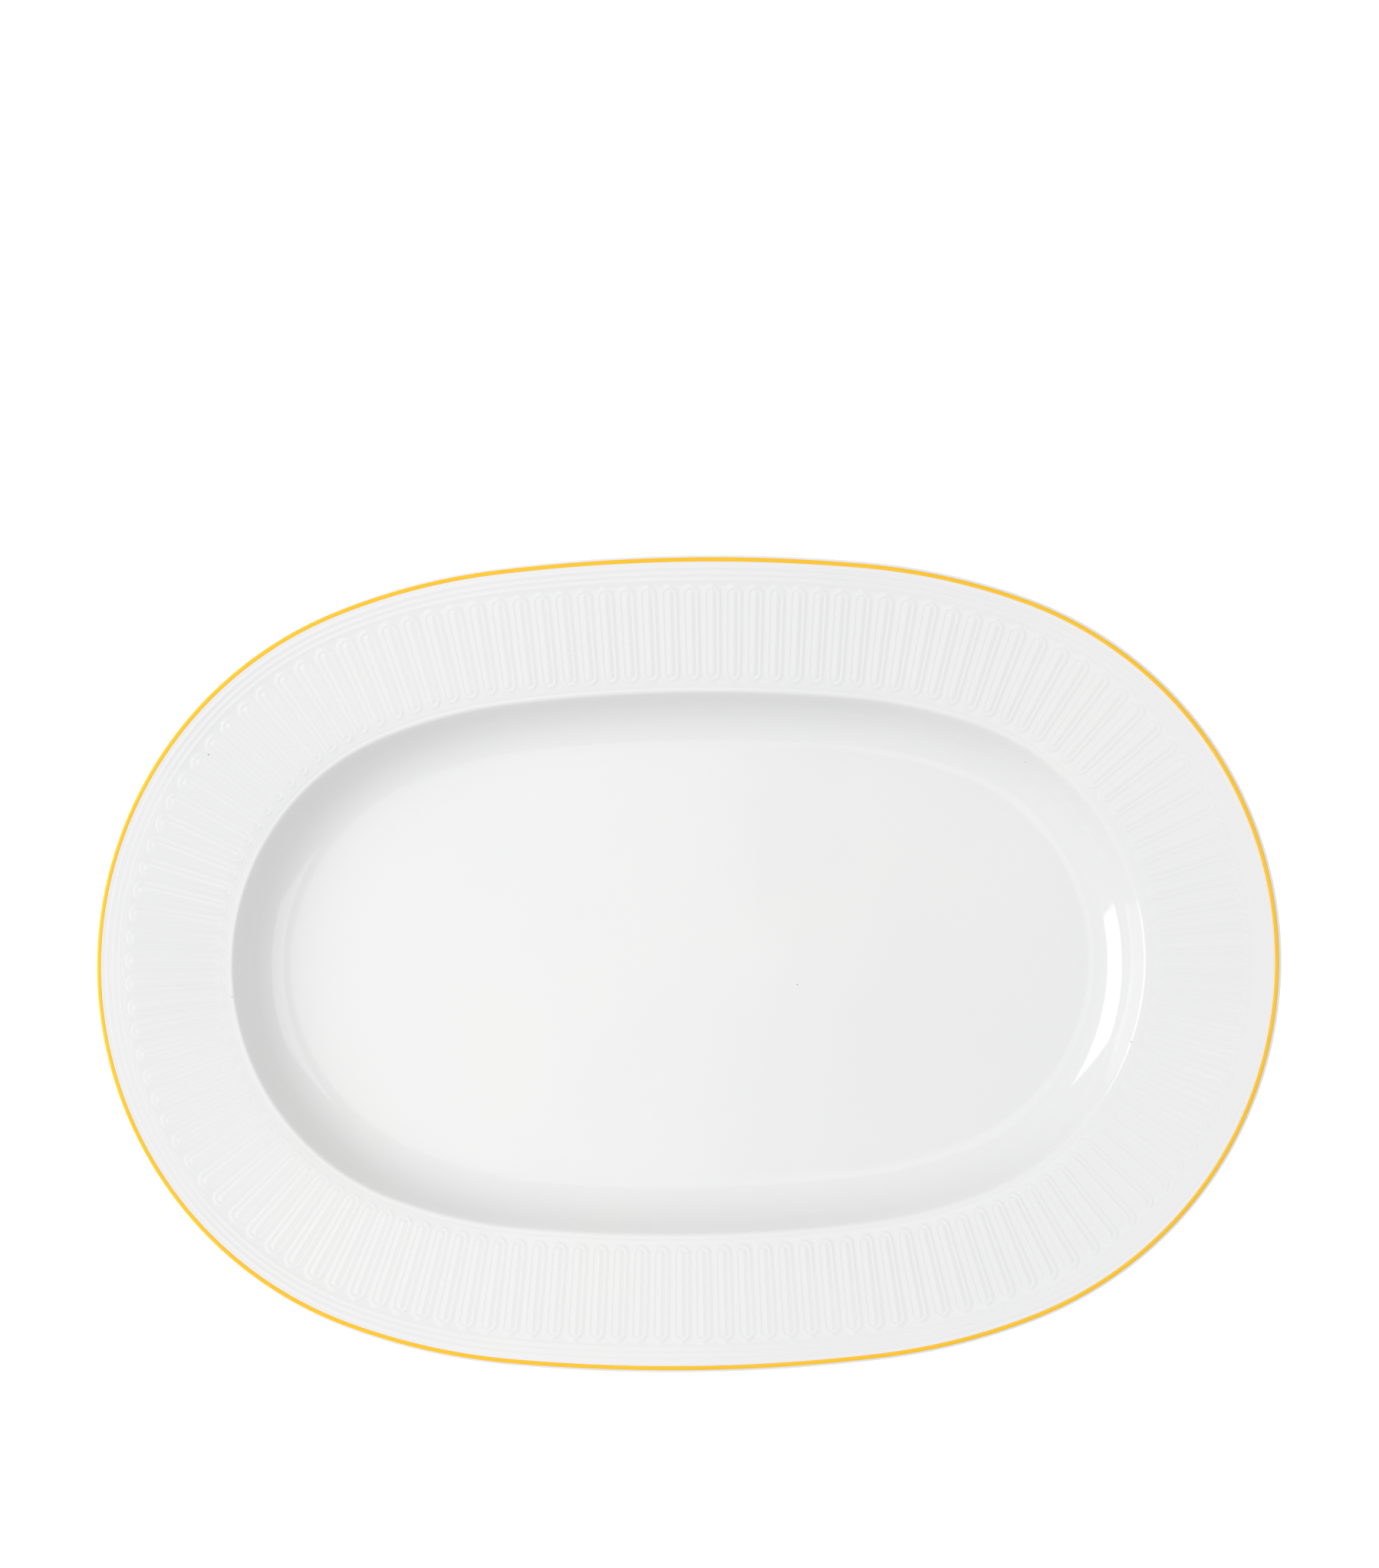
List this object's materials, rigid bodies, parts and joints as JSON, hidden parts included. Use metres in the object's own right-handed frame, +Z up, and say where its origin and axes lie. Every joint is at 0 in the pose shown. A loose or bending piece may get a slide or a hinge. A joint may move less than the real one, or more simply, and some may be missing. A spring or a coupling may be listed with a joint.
{
  "type": "serving platter",
  "caption": "Oval white china serving platter with a fluted rim, a shallow well, a foot ring and a thin yellow enamel line inside the lip.",
  "frame": {"origin": "centre of the oval, on the plane that the foot ring stands on", "axes": "+Z up out of the well, +X along the long axis, +Y along the short axis"},
  "size_m": [0.4, 0.275, 0.0312],
  "materials": {
    "bone_china": "unglazed, fine matte biscuit",
    "white_glaze": "smooth clear gloss glaze over white",
    "yellow_enamel": "glossy hand-banded enamel"
  },
  "bodies": {
    "root": {"china_body": "bone_china", "glaze_coat": "white_glaze", "glaze_base_panel": "white_glaze", "enamel_line": "yellow_enamel"}
  },
  "joints": []
}
